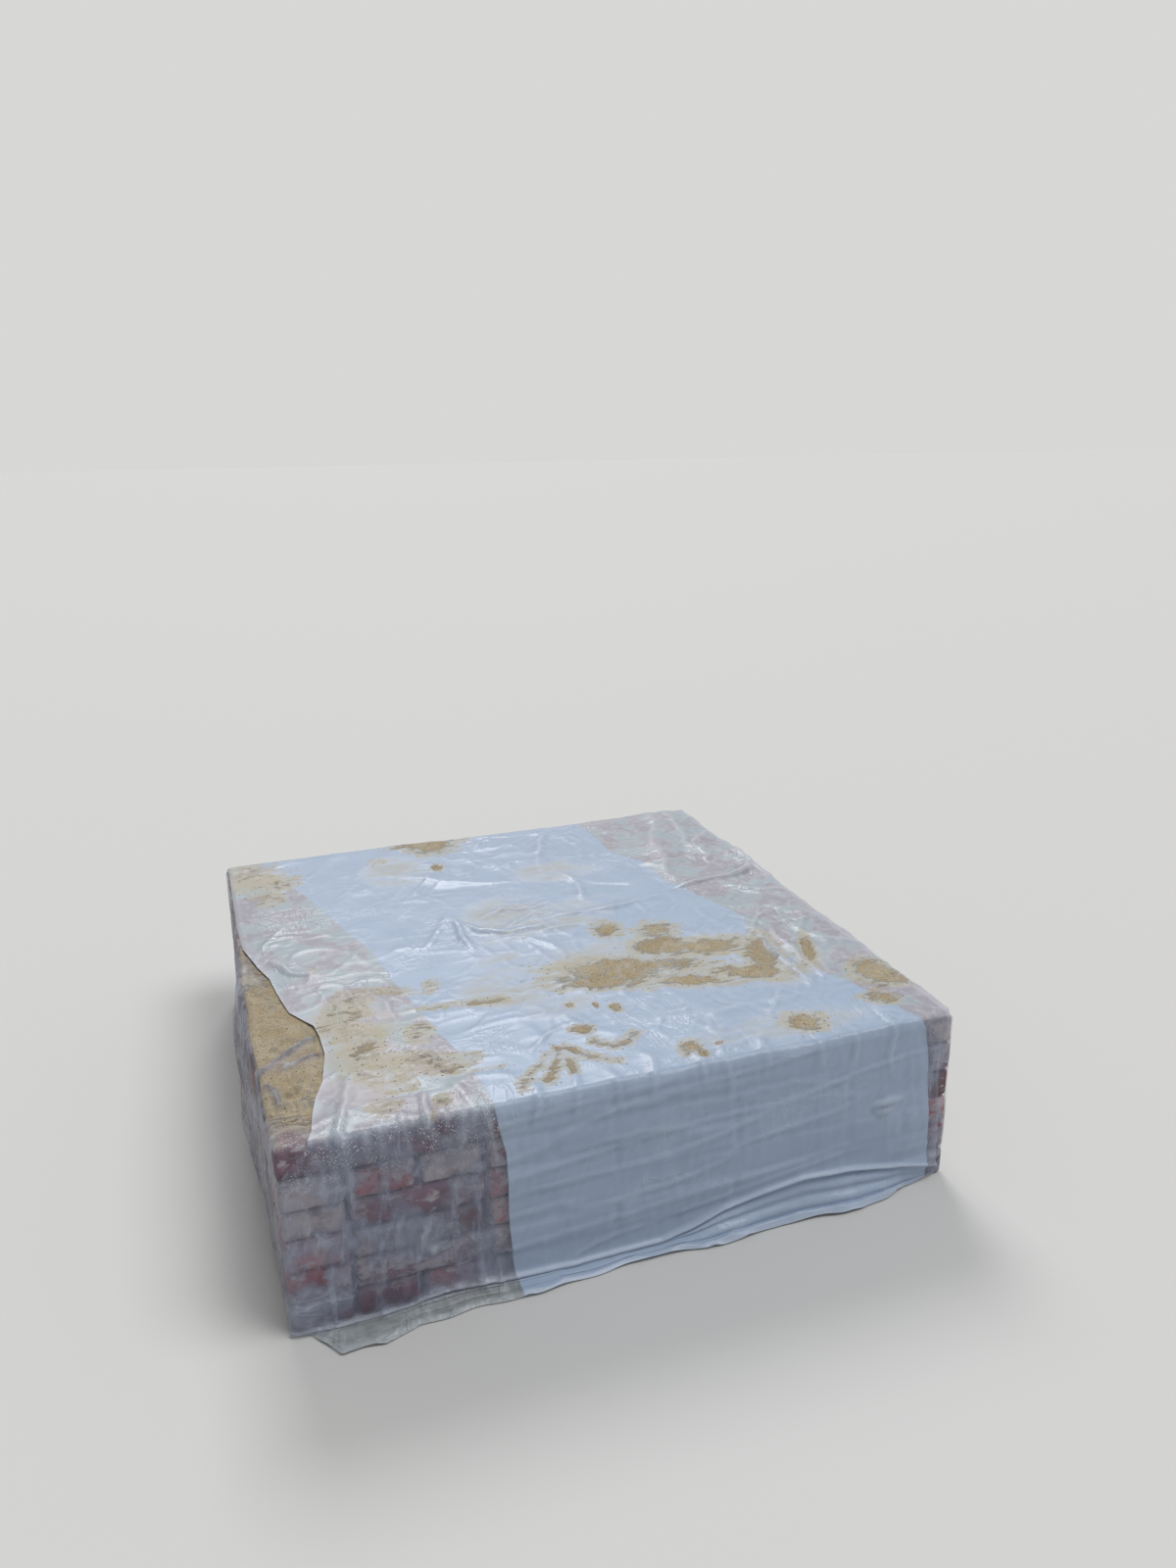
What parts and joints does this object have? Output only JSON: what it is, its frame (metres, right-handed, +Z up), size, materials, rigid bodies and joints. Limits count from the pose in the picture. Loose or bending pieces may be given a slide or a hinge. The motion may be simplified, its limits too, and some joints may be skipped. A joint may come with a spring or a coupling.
{
  "type": "film-wrapped pack of bricks",
  "caption": "Low square pack of hand-moulded facing bricks laid crosswise in layers, wrapped in clear film under a second film with a bare white band and a loose hem in front.",
  "frame": {"origin": "centre of the pack's underside, on the ground", "axes": "+Z up, -Y the front with the white band and the loose hem, +X to the right seen from the front"},
  "size_m": [1.0542, 1.135, 0.2906],
  "materials": {
    "brick": "rough hand-moulded facing brick, lime-whitened, red, brown and blue-black mixed",
    "core": "hidden brick",
    "clear_film": "clear wrapping film, wrinkled, sanded over on top",
    "banded_film": "wrapping film, clear at the sides, opaque bluish white in the middle, sand-stained"
  },
  "bodies": {
    "root": {"brick_layer_1": "brick", "brick_layer_2": "brick", "brick_layer_3": "brick", "brick_layer_4": "brick", "brick_layer_5": "brick", "brick_layer_6": "brick", "hidden_core": "core", "inner_film": "clear_film", "outer_film": "banded_film"}
  },
  "joints": []
}
